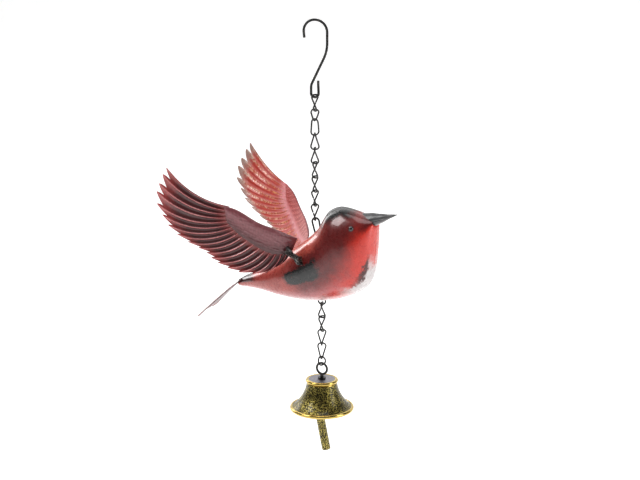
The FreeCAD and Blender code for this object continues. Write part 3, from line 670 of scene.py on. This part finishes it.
def make_eyes(finish):
    """A glossy dome in a shallow turned socket ring."""
    for name, side in SIDES.items():
        middle = node_middle(f"{name}_eye")
        normal = skin_normal(EYE_STATION, EYE_TURN, side)
        place = stand(middle - normal * 1.2, normal)
        rises = [math.pi / 2 * k / 14 for k in range(14, -1, -1)]
        dome = [(EYE_RADIUS * math.sin(a), 0.3 + 2.0 * math.cos(a)) for a in rises]
        dome[-1] = (0.02, dome[-1][1])
        turns = [math.tau * k / 16 for k in range(16)]
        ring = [(2.2 + 0.42 * math.cos(a), 0.55 + 0.40 * math.sin(a)) for a in turns]
        metal = Metal()
        metal.lathe([(2.2, -1.0)] + dome, place, 40)
        metal.lathe(ring, place, 40, [(1, 0, 0, 0)] * 16, closed=True)
        piece = metal.make(f"{name}_eye_dome", finish)
        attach(piece, "bird")
        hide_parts(f"{name}_eye")


def make_beak(finish):
    """Two mandibles that meet in a fine gape line, wide at the face and drawn to a point."""
    ahead = Vector((math.cos(BEAK_RISE), 0, math.sin(BEAK_RISE)))
    above = Vector((-math.sin(BEAK_RISE), 0, math.cos(BEAK_RISE)))
    length = 22.5 + 0.07 * BODY_LENGTH
    root = BODY_TAIL + AHEAD * (0.93 * BODY_LENGTH) + ABOVE * (0.045 * BODY_HEIGHT)
    stations = ((0.0, 1.15), (0.28, 1.0), (0.55, 0.66), (0.80, 0.30), (1.0, 0.07))
    rows, masks = [], []
    steps, sides = 60, 56
    for i in range(steps + 1):
        along = i / steps
        for near, far in zip(stations, stations[1:]):
            if along <= far[0]:
                break
        part = (along - near[0]) / (far[0] - near[0])
        share = mix(near[1], far[1], 0.35 * ease(0, 1, part) + 0.65 * part)
        centre = root + ahead * (length * along) + above * (1.1 * (1 - share))
        row, zone = [], []
        for k in range(sides):
            turn = math.tau * k / sides
            up, out = math.cos(turn), math.sin(turn)
            gape = math.exp(-((up + 0.12) / 0.07) ** 2) * 0.35 * min(1, share * 2)
            keel = 0.25 * max(0.0, up) ** 6 * share
            tall = share * 5.5 * (1 + keel) - gape * abs(up)
            wide = share * 5.25 - gape
            row.append(centre + above * (up * tall) + Vector((0, out * wide, 0)))
            # the first mask rises toward the lower edge, where the painted highlight goes
            zone.append((max(0.0, -up - 0.35) * 1.3, along, 0, 0))
        rows.append(row)
        masks.append(zone)
    metal = Metal()
    first = metal.grid(rows, masks, wrap=True)
    metal.cap(first, sides)
    metal.cap(first + steps * sides, sides)
    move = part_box("beak")[1].x / MM - max(p.x for p in metal.points)
    metal.points = [p + Vector((move, 0, 0)) for p in metal.points]
    piece = metal.make("beak_horn", finish)
    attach(piece, "bird")
    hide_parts("beak")


def make_tail(finish):
    """Five pressed feathers fanned from the rump, each with a raised shaft."""
    feathers, notch = 5, 4.0
    root, end = 4.5, 17.0
    back = Vector((-math.cos(TAIL_SLOPE), 0, -math.sin(TAIL_SLOPE)))
    face = Vector((-math.sin(TAIL_SLOPE), 0, math.cos(TAIL_SLOPE)))
    across = Vector((0, 1, 0)) * math.cos(TAIL_ROLL) + face * math.sin(TAIL_ROLL)
    face = face * math.cos(TAIL_ROLL) - Vector((0, 1, 0)) * math.sin(TAIL_ROLL)
    outer, inner, masks = [], [], []
    steps, per = 70, 14
    for i in range(steps + 1):
        v = i / steps
        upper, lower, zone = [], [], []
        for k in range(feathers * per + 1):
            u = k / per
            f = u - math.floor(u) if k < feathers * per else 1.0
            tip = 1 - abs(2 * f - 1) ** 2.2
            reach = TAIL_LENGTH - notch * (1 - tip)
            half = mix(root * 1.03, end, ease(0.15, 1.1, v) * 0.5 + 0.5 * v)
            where = (u / feathers * 2 - 1) * half
            shaft = math.exp(-((f - 0.5) / 0.10) ** 2)
            height = 0.50 * shaft - 0.22 * abs(2 * f - 1) ** 6
            height *= ease(0.0, 0.25, v)
            bow = -0.020 * (u / feathers * 2 - 1) ** 2 * half * v * 4
            sweep = 0.5 * math.sin(math.pi * v)
            point = back * (reach * v) + across * where + face * (height + bow + sweep)
            upper.append(point + face * 0.25)
            lower.append(point - face * 0.25)
            zone.append((shaft, v, 1, 0))
        outer.append(upper)
        inner.append(lower)
        masks.append(zone)
    metal = Metal()
    metal.sheet(outer, inner, masks, masks)
    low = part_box("tail_fan")[0] / MM
    move = Vector((low.x - min(p.x for p in metal.points), 0, low.z - min(p.z for p in metal.points)))
    metal.points = [p + move for p in metal.points]
    piece = metal.make("tail_feathers", finish)
    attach(piece, "bird")
    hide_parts("tail_fan")


# ---------------------------------------------------------------- wings

def wing_axes(side):
    """Directions out of a wing's face, along its span and up its chord."""
    up = Vector((0, side * math.sin(WING_LEAN), math.cos(WING_LEAN)))
    face = Vector((math.cos(WING_SPLAY), side * math.sin(WING_SPLAY), 0))
    face = (face - up * face.dot(up)).normalized()
    return face, up.cross(face) * side, up


def on_wing(axes, span, chord, proud):
    """A place on the flat blank carried onto the bent wing, and stood proud of its outer face."""
    face, out, up = axes
    angle = span / WING_BEND
    radial = face * math.cos(angle) + out * math.sin(angle)
    return -face * WING_BEND + radial * (WING_BEND + proud) + up * chord


def feather_edge(f):
    """How far a blade reaches at f, from its leading side, -0.5, to its trailing side, 0.5."""
    tip = -0.26
    if f < tip:
        return max(0.0, (f + 0.5) / (tip + 0.5)) ** 0.55
    return 1 - ((f - tip) / (0.5 - tip)) ** 1.7


def long_feathers(axes, metal):
    """Eighteen curved blades, each with a rolled ridge beside a hollow web."""
    count, per, steps = len(FEATHER_TIPS), 14, 64
    tips = [(s * WING_SPAN, c * WING_CHORD) for s, c in FEATHER_TIPS]
    columns = count * per
    outer = [[] for _ in range(steps + 1)]
    inner = [[] for _ in range(steps + 1)]
    outer_masks = [[] for _ in range(steps + 1)]
    inner_masks = [[] for _ in range(steps + 1)]
    for k in range(columns + 1):
        u = k / per - 0.5
        number = min(int(k / per), count - 1)
        f = u - number
        start = curve_at(COVERT_EDGE, (u + 0.5) / count)
        end = curve_at(tips, (u + 0.26) / (count - 1))
        run = end - start
        side = Vector((run.y, -run.x)).normalized()
        bow = run.length * mix(0.085, 0.12, u / count)
        notch = mix(*NOTCH_DEPTH, ease(0, 12, u)) / run.length
        reach = 1 - notch * (1 - feather_edge(f))
        ridge = math.exp(-((f + 0.27) / 0.11) ** 2)
        web = math.sin(math.pi * min(max((f + 0.10) / 0.58, 0), 1))
        for i in range(steps + 1):
            v = mix(-0.06, 1.0, i / steps) * reach
            place = start + run * v + side * (4 * bow * v * (1 - v))
            fade = ease(-0.02, 0.10, v)
            flat = 1 - 0.55 * ease(0.80, 1.0, v)
            height = (1.15 * ridge - 0.55 * web) * fade * flat
            point = on_wing(axes, place.x, place.y, height)
            under = on_wing(axes, place.x, place.y, height * 0.8 - WING_SHEET)
            outer[i].append(point)
            inner[i].append(under)
            # the ridge mask also sets where the painted highlight and painted shade of the feathers fall
            shaft = ridge * (1 - 0.3 * ease(0.85, 1.0, v))
            outer_masks[i].append((shaft, max(0.0, v), 1, 0))
            inner_masks[i].append((mix(shaft, 1 - web, 0.5), max(0.0, v), 0, 0))
    metal.sheet(outer, inner, outer_masks, inner_masks)


def covert_scales(across, along):
    """Small overlapping scales: 1 on a scale's edge, 0 at its hidden root."""
    row = math.floor(across)
    step = along + 0.5 * (row % 2)
    x = step - math.floor(step) - 0.5
    y = across - row
    edge = y + 1.4 * x * x
    return edge - math.floor(edge)


def coverts(axes, metal):
    """The smooth shoulder panel that laps over the roots of the long feathers."""
    tall, wide = 60, 110
    outer, inner, outer_masks, inner_masks = [], [], [], []
    for i in range(tall + 1):
        b = i / tall
        over, under, zone_out, zone_in = [], [], [], []
        for k in range(wide + 1):
            a = k / wide
            place = curve_at(LEADING_EDGE, a).lerp(curve_at(TRAILING_EDGE, a), b)
            inside = min(a * 6, (1 - a) * 9, b * 6, (1 - b) * 6, 1.0)
            round_ = math.sqrt(max(0.0, 1 - (1 - inside) ** 2))
            spot = (place.x * 0.10 + place.y * 0.16, place.y * 0.55 - place.x * 0.30, 2.0)
            wisp = noise.noise(Vector(spot))
            scale = covert_scales(b * 11, place.x / 4.2)
            crest = 1.1 * math.exp(-((b - 0.22) / 0.22) ** 2)
            over.append(on_wing(axes, place.x, place.y, 0.15 + (0.75 + crest + 0.28 * wisp) * round_))
            under.append(on_wing(axes, place.x, place.y, -WING_SHEET - 0.1 - 0.40 * scale * round_))
            zone_out.append((mix(0.03, 1.0, 0.5 + 0.5 * wisp) * ease(0.0, 0.12, a + 0.10 * (1 - b)), b, 1, 1))
            zone_in.append((scale, b, 0, 1))
        outer.append(over)
        inner.append(under)
        outer_masks.append(zone_out)
        inner_masks.append(zone_in)
    metal.sheet(outer, inner, outer_masks, inner_masks)


def make_wings(finish):
    """Each wing's feathers and shoulder panel, set on its plain blank."""
    for name, side in SIDES.items():
        axes = wing_axes(side)
        metal = Metal()
        long_feathers(axes, metal)
        coverts(axes, metal)
        move = fit(metal.points, [f"{name}_wing"])
        metal.points = [p + move for p in metal.points]
        piece = metal.make(f"{name}_wing_plumage", finish, 50)
        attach(piece, f"{name}_wing_body")
        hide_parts(f"{name}_wing")


# ---------------------------------------------------------------- springs and brazing

def long_axis(node):
    """The two ends of a slim CAD node, from the spread of its own points."""
    points = [v.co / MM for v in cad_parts[node].data.vertices]
    middle = sum(points, Vector()) / len(points)
    far = max(points, key=lambda p: (p - middle).length)
    along = (far - middle).normalized()
    reach = [(p - middle).dot(along) for p in points]
    return middle + along * min(reach), middle + along * max(reach)


def make_springs(finish):
    """Close-wound coils with a hooked tail at each end."""
    for name in SIDES:
        low, high = long_axis(f"{name}_wing_spring")
        body_peg = node_middle(f"{name}_body_peg")
        if (high - body_peg).length < (low - body_peg).length:
            low, high = high, low
        along = (high - low).normalized()
        across = along.cross(UP).normalized()
        other = along.cross(across)
        inner_start, inner_end = low + along * COIL_WIRE, high - along * COIL_WIRE
        turns = max(3, round((inner_end - inner_start).length / 1.25))
        path = []
        curl = 12
        for k in range(curl):
            share = k / curl
            reach = COIL_RADIUS + 2.2 * (1 - share)
            turn = -math.tau * 0.55 * (1 - share)
            start = inner_start - along * (0.9 * (1 - share))
            path.append(start + (across * math.cos(turn) + other * math.sin(turn)) * reach)
        for k in range(turns * 20 + 1):
            turn = math.tau * k / 20
            share = k / (turns * 20)
            centre = inner_start.lerp(inner_end, share)
            path.append(centre + (across * math.cos(turn) + other * math.sin(turn)) * COIL_RADIUS)
        for k in range(1, curl + 1):
            share = k / curl
            turn = math.tau * 0.4 * share
            centre = inner_end + along * (0.8 * share)
            reach = COIL_RADIUS + 1.4 * share
            path.append(centre + (across * math.cos(turn) + other * math.sin(turn)) * reach)
        metal = Metal()
        metal.tube(path, COIL_WIRE, 10)
        piece = metal.make(f"{name}_spring_coil", finish)
        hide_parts(f"{name}_wing_spring")
        inner_start * MM
        inner_end * MM
        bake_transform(piece)


def braze_ripple(i, turn):
    """How far molten braze stands out of round."""
    return 0.12 * math.sin(3 * turn + i * 0.2) + 0.06 * math.sin(7 * turn)


def make_brazing(finish):
    """Small fillets of braze where wires meet the painted body."""
    feet = {
        "loop_braze": ("back_loop", 1.3),
        "right_peg_braze": ("right_body_peg", 1.5),
        "left_peg_braze": ("left_body_peg", 1.5),
    }
    for name, (node, radius) in feet.items():
        points = [v.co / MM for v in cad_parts[node].data.vertices]
        if node == "back_loop":
            foot = min(points, key=lambda p: p.z)
            near = [p for p in points if p.z < foot.z + 1.6]
        else:
            near = sorted(points, key=lambda p: abs(p.y))[: max(8, len(points) // 10)]
        foot = sum(near, Vector()) / len(near)
        centre = BODY_TAIL + AHEAD * ((foot - BODY_TAIL).dot(AHEAD)) + ABOVE * -6
        normal = (foot - centre).normalized()
        place = stand(foot - normal * 0.5, normal)
        fillet = [(1.6, -0.2), (1.5, 0.15), (1.15, 0.55), (0.9, 1.0), (0.2, 1.15)]
        fillet = [(radius * share, height) for share, height in fillet]
        fillet = [tuple(curve_at(fillet, k / 16)) for k in range(17)]
        metal = Metal()
        metal.lathe(fillet, place, 36, ripple=braze_ripple)
        piece = metal.make(name, finish, 60)
        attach(piece, "bird")


# ---------------------------------------------------------------- bell and clapper

def arc(start, end, depth, steps):
    """Points of a shallow bow from start to end, standing off its chord by depth."""
    along = Vector(end) - Vector(start)
    side = Vector((-along.y, along.x)).normalized()
    for k in range(steps + 1):
        t = k / steps
        yield tuple(Vector(start) + along * t + side * (4 * depth * t * (1 - t)))


def make_bell(finish):
    """A cast bell with rolled gold rims, a dimpled flare and a plain inside."""
    low, high = (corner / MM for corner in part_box("bell_shell"))
    middle = (low + high) / 2
    tall = high.z - low.z
    crown, neck, mouth = BELL_CROWN, BELL_NECK, BELL_MOUTH
    shoulder = tall - 3 * BELL_RIM
    profile, zones = [], []

    def run(points, mask):
        for point in points:
            profile.append(point)
            zones.append(mask)

    # top marks the flat top of the crown, which carries a painted reflection
    top, gold, flare, bare = (0, 1, 0, 0), (1, 0, 0, 0), (0, 0, 0, 0), (0.1, 0, 0, 0)
    run([(BELL_HOLE, tall - 0.05), (5.0, tall - 0.15), (crown - 3.2, tall - 0.25)], top)
    for k in range(15):
        turn = math.radians(120 - 205 * k / 14)
        run([(crown - 1.5 + 1.55 * math.cos(turn), tall - 1.55 + 1.5 * math.sin(turn))], gold)
    run([(neck - 0.25, shoulder + 0.1)], gold)
    run(arc((neck - 0.1, shoulder - 0.5), (mouth - 2.4, 3.0), FLARE_BOW_OUTSIDE, 40), flare)
    for k in range(19):
        turn = math.radians(110 - 235 * k / 18)
        run([(mouth - 1.75 + 1.7 * math.cos(turn), 1.75 + 1.7 * math.sin(turn))], gold)
    run(arc((mouth - 4.0, 1.6), (neck - BELL_WALL, shoulder), FLARE_BOW_INSIDE, 30), bare)
    run([(neck - BELL_WALL - 0.8, tall - BELL_WALL), (BELL_HOLE, tall - BELL_WALL)], bare)
    place = Matrix.Translation(Vector((middle.x, middle.y, low.z)))

    def dimple(i, turn):
        if zones[i] != flare:
            return 0.0
        radius, height = profile[i]
        spot = Vector((math.cos(turn) * radius, math.sin(turn) * radius, height)) / 1.3
        return 0.16 * noise.noise(spot) + 0.10 * noise.noise(spot * 0.35)

    metal = Metal()
    metal.lathe(profile, place, 220, zones, closed=True, ripple=dimple)
    piece = metal.make("bell_casting", finish, 60)
    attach(piece, "bell")
    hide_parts("bell_shell")


def make_clapper(finish):
    """A cast rod with rounded ends and a pitted skin."""
    long, radius = CLAPPER_LENGTH, CLAPPER_RADIUS
    outward = Vector((math.cos(CLAPPER_TURN), math.sin(CLAPPER_TURN), 0))
    down = outward * math.sin(CLAPPER_LEAN) - UP * math.cos(CLAPPER_LEAN)
    middle = node_middle("clapper_rod")
    place = stand(middle - down * (long / 2), down)
    profile = [(0.78, 0.0)]
    for k in range(7):
        bend = math.pi / 2 * k / 6
        profile.append((radius - 0.7 + 0.7 * math.sin(bend), 0.7 - 0.7 * math.cos(bend)))
    profile += [(radius, 0.7 + (long - 1.4) * k / 70) for k in range(1, 71)]
    for k in range(1, 7):
        bend = math.pi / 2 * k / 6
        profile.append((radius - 0.7 + 0.7 * math.cos(bend), long - 0.7 + 0.7 * math.sin(bend)))
    profile.append((0.05, long))

    def pit(i, angle):
        rounded = profile[i][0] / radius
        spot = Vector((math.cos(angle) * radius, math.sin(angle) * radius, profile[i][1])) / 1.4
        return (0.16 * noise.noise(spot) - 0.05) * rounded

    metal = Metal()
    metal.lathe(profile, place, 64, [(0, 0, 0, 0)] * len(profile), ripple=pit)
    piece = metal.make("clapper_casting", finish, 60)
    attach(piece, "clapper")
    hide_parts("clapper_rod")


# ---------------------------------------------------------------- kept wire pieces

def dress(nodes, finish):
    """Give kept nodes a finish."""
    for node in nodes:
        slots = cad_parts[node].material_slots
        for slot in slots:
            slot.material = finish
        if not slots:
            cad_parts[node].data.materials.append(finish)


# ---------------------------------------------------------------- stage, lights and camera

def make_stage(finish):
    """A pale floor that sweeps up behind the object."""
    low = (cad_low.z / MM) - FLOOR_DROP
    profile = [(-FLOOR_REACH, low)]
    for k in range(25):
        turn = math.pi / 2 * k / 24
        rise = SWEEP_RADIUS * (1 - math.cos(turn))
        profile.append((SWEEP_START + SWEEP_RADIUS * math.sin(turn), low + rise))
    profile.append((SWEEP_START + SWEEP_RADIUS, low + FLOOR_REACH))
    metal = Metal()
    metal.grid([[Vector((x, y, z)) for x in (-FLOOR_REACH, FLOOR_REACH)] for y, z in profile])
    mesh = bpy.data.meshes.new("floor_sweep")
    mesh.from_pydata([p * MM for p in metal.points], [], metal.faces)
    mesh.materials.append(finish)
    mesh.shade_smooth()
    floor = bpy.data.objects.new("floor_sweep", mesh)
    floor.rotation_euler.z = CAMERA_AZIMUTH
    bpy.context.scene.collection.objects.link(floor)


def make_light(name, azimuth, elevation, distance, wide, tall, power):
    """A soft box aimed at the bird."""
    turn, rise = math.radians(azimuth), math.radians(elevation)
    back = Vector((math.sin(turn) * math.cos(rise), -math.cos(turn) * math.cos(rise), math.sin(rise)))
    lamp = bpy.data.lights.new(name, "AREA")
    lamp.shape = "RECTANGLE"
    lamp.size, lamp.size_y = wide, tall
    lamp.energy = power
    holder = bpy.data.objects.new(name, lamp)
    holder.location = LIGHT_AIM + back * distance
    holder.rotation_mode = "QUATERNION"
    holder.rotation_quaternion = (-back).to_track_quat("-Z", "Y")
    bpy.context.scene.collection.objects.link(holder)


def make_camera():
    """Three-quarter view from the right and a little above, as far as a portrait lens stands."""
    back = Vector((
        math.sin(CAMERA_AZIMUTH) * math.cos(CAMERA_RISE),
        -math.cos(CAMERA_AZIMUTH) * math.cos(CAMERA_RISE),
        math.sin(CAMERA_RISE),
    ))
    right = Vector((math.cos(CAMERA_AZIMUTH), math.sin(CAMERA_AZIMUTH), 0))
    aim = right * 4.3 + Vector((0, 0, -188))
    lens = bpy.data.cameras.new("view")
    lens.sensor_width = 36.0
    lens.lens = CAMERA_LENS
    holder = bpy.data.objects.new("view", lens)
    holder.location = (aim + back * CAMERA_DISTANCE) * MM
    holder.rotation_mode = "QUATERNION"
    holder.rotation_quaternion = (-back).to_track_quat("-Z", "Y")
    bpy.context.scene.collection.objects.link(holder)
    bpy.context.scene.camera = holder


def make_world():
    """A faint even white light from all round."""
    world = bpy.data.worlds.new("white_room")
    world.use_nodes = True
    backdrop = world.node_tree.nodes["Background"]
    backdrop.inputs["Color"].default_value = (1.0, 1.0, 1.0, 1.0)
    backdrop.inputs["Strength"].default_value = 0.10
    bpy.context.scene.world = world


gunmetal = wire_finish("gunmetal_wire", rgb(20, 20, 21), rgb(74, 72, 70), 0.34)
# the spring's lighter colours are partly painted highlight on the coil
spring_wire = wire_finish("spring_wire", rgb(40, 38, 38), rgb(120, 116, 112), 0.20)
kept = [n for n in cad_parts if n.startswith(("upper_link", "lower_link"))]
dress(kept + ["hanging_hook", "back_loop", "belly_staple", "bell_eye", "bell_nut", "clapper_wire"], gunmetal)
dress([f"{name}_{part}_peg" for name in SIDES for part in ("body", "wing")], spring_wire)
make_body(body_finish())
make_eyes(eye_finish())
make_beak(beak_finish())
make_tail(tail_finish())
make_wings(wing_finish())
make_springs(spring_wire)
make_brazing(braze_finish())
make_bell(bell_finish("bell_bronze", 0.35))
make_clapper(bell_finish("clapper_bronze", 0.55))
make_stage(floor_finish())
for name, settings in SOFT_BOXES.items():
    make_light(name, *settings)
make_world()
make_camera()
scene = bpy.context.scene
scene.view_settings.view_transform = "Standard"
